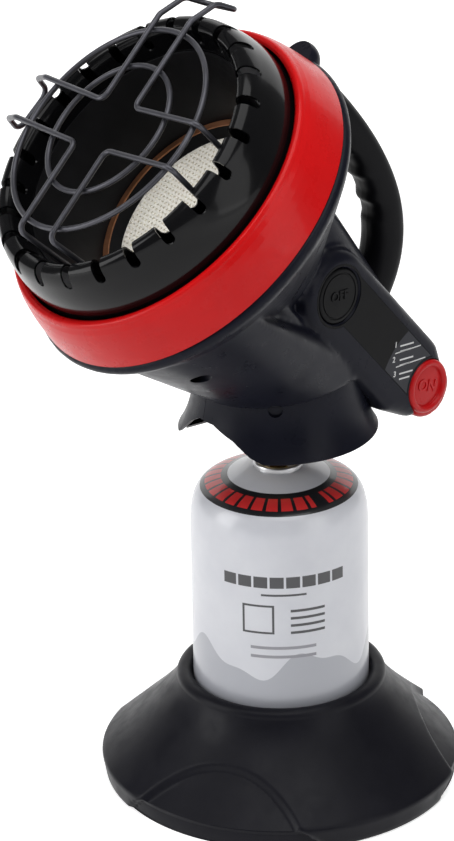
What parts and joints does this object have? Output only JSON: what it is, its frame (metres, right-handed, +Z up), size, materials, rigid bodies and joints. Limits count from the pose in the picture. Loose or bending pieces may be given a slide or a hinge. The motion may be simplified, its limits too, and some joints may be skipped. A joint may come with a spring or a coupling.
{
  "type": "portable propane heater",
  "caption": "Round tilted radiant heater head with wire guard, carry handle and push buttons, screwed on a gas cartridge in a wide foot.",
  "frame": {"origin": "on the cartridge's axis at the floor, under the foot", "axes": "+Z up along the cartridge, the burner head faces -Y and upwards, the control arm is on the +X side"},
  "size_m": [0.2266, 0.2854, 0.5082],
  "materials": {
    "moulded_black": "satin",
    "grip_black": "matte",
    "red_paint": "gloss",
    "black_enamel": "gloss",
    "dark_steel": "satin",
    "bare_steel": "satin",
    "tinplate": "gloss",
    "bronze": "heat stained",
    "brass": "satin",
    "copper": "satin",
    "tile": "matte",
    "glaze": "gloss",
    "rubber": "matte",
    "zinc": "cast",
    "red_plastic": "gloss",
    "black_plastic": "satin",
    "fibre": "matte",
    "insulation": "satin"
  },
  "bodies": {
    "foot": {"foot": "moulded_black"},
    "cartridge": {"cartridge_can": "tinplate", "valve_cup": "bare_steel", "cartridge_valve": "brass", "valve_stem": "brass"},
    "seal": {"inlet_seal": "rubber"},
    "heater": {"inlet_fitting": "brass", "valve_pin": "brass", "regulator_body": "zinc", "regulator_diaphragm": "rubber", "regulator_spring": "bare_steel", "regulator_bonnet": "zinc", "housing_left": "moulded_black", "housing_right": "moulded_black", "housing_screws": "dark_steel", "trim_ring": "red_paint", "shroud_pan": "bare_steel", "bezel": "black_enamel", "reflector": "dark_steel", "burner_plenum": "bare_steel", "mixer_tube": "bare_steel", "gas_jet": "brass", "feed_tube": "copper", "inlet_tube": "copper", "ceramic_plaque": "tile", "plaque_gasket": "fibre", "plaque_frame": "dark_steel", "heat_ring": "bronze", "electrode": "bare_steel", "electrode_insulator": "glaze", "igniter_lead": "insulation", "pilot_burner": "brass", "thermocouple": "copper", "thermocouple_lead": "copper", "safety_valve": "brass", "on_spring": "bare_steel", "piezo_igniter": "black_plastic", "off_spring": "bare_steel", "vent_valve": "brass", "panel_plate": "black_plastic", "tip_switch": "black_plastic", "handle_left": "grip_black", "handle_right": "grip_black", "handle_screws": "dark_steel", "guard_rings": "dark_steel", "guard_wires": "dark_steel"},
    "on_button": {"on_button": "red_plastic", "valve_plunger": "bare_steel", "igniter_plunger": "black_plastic"},
    "off_button": {"off_button": "black_plastic"}
  },
  "joints": [
    {"name": "cartridge_lift", "type": "slide", "parent": "foot", "child": "cartridge", "axis": [0, 0, 1], "range_m": [0, 0.06]},
    {"name": "heater_lift", "type": "slide", "parent": "cartridge", "child": "seal", "axis": [0, 0, 1], "range_m": [0, 0.00456]},
    {"name": "heater_turn", "type": "hinge", "parent": "seal", "child": "heater", "pos_m": [0, 0, 0.2], "axis": [0, 0, 1], "range_deg": [0, 1800]},
    {"name": "on_push", "type": "slide", "parent": "heater", "child": "on_button", "axis": [-0.9752, -0.2208, -0.0139], "range_m": [0, 0.005], "stiffness_N_per_m": 1200, "springref_m": -0.002, "deforming": ["on_spring"]},
    {"name": "off_push", "type": "slide", "parent": "heater", "child": "off_button", "axis": [-0.9752, -0.2208, -0.0139], "range_m": [0, 0.003], "stiffness_N_per_m": 1000, "springref_m": -0.002, "deforming": ["off_spring"]}
  ],
  "couplings": [
    {"joint": "heater_lift", "follows": "heater_turn", "m_per_rad": 0.0001444}
  ]
}
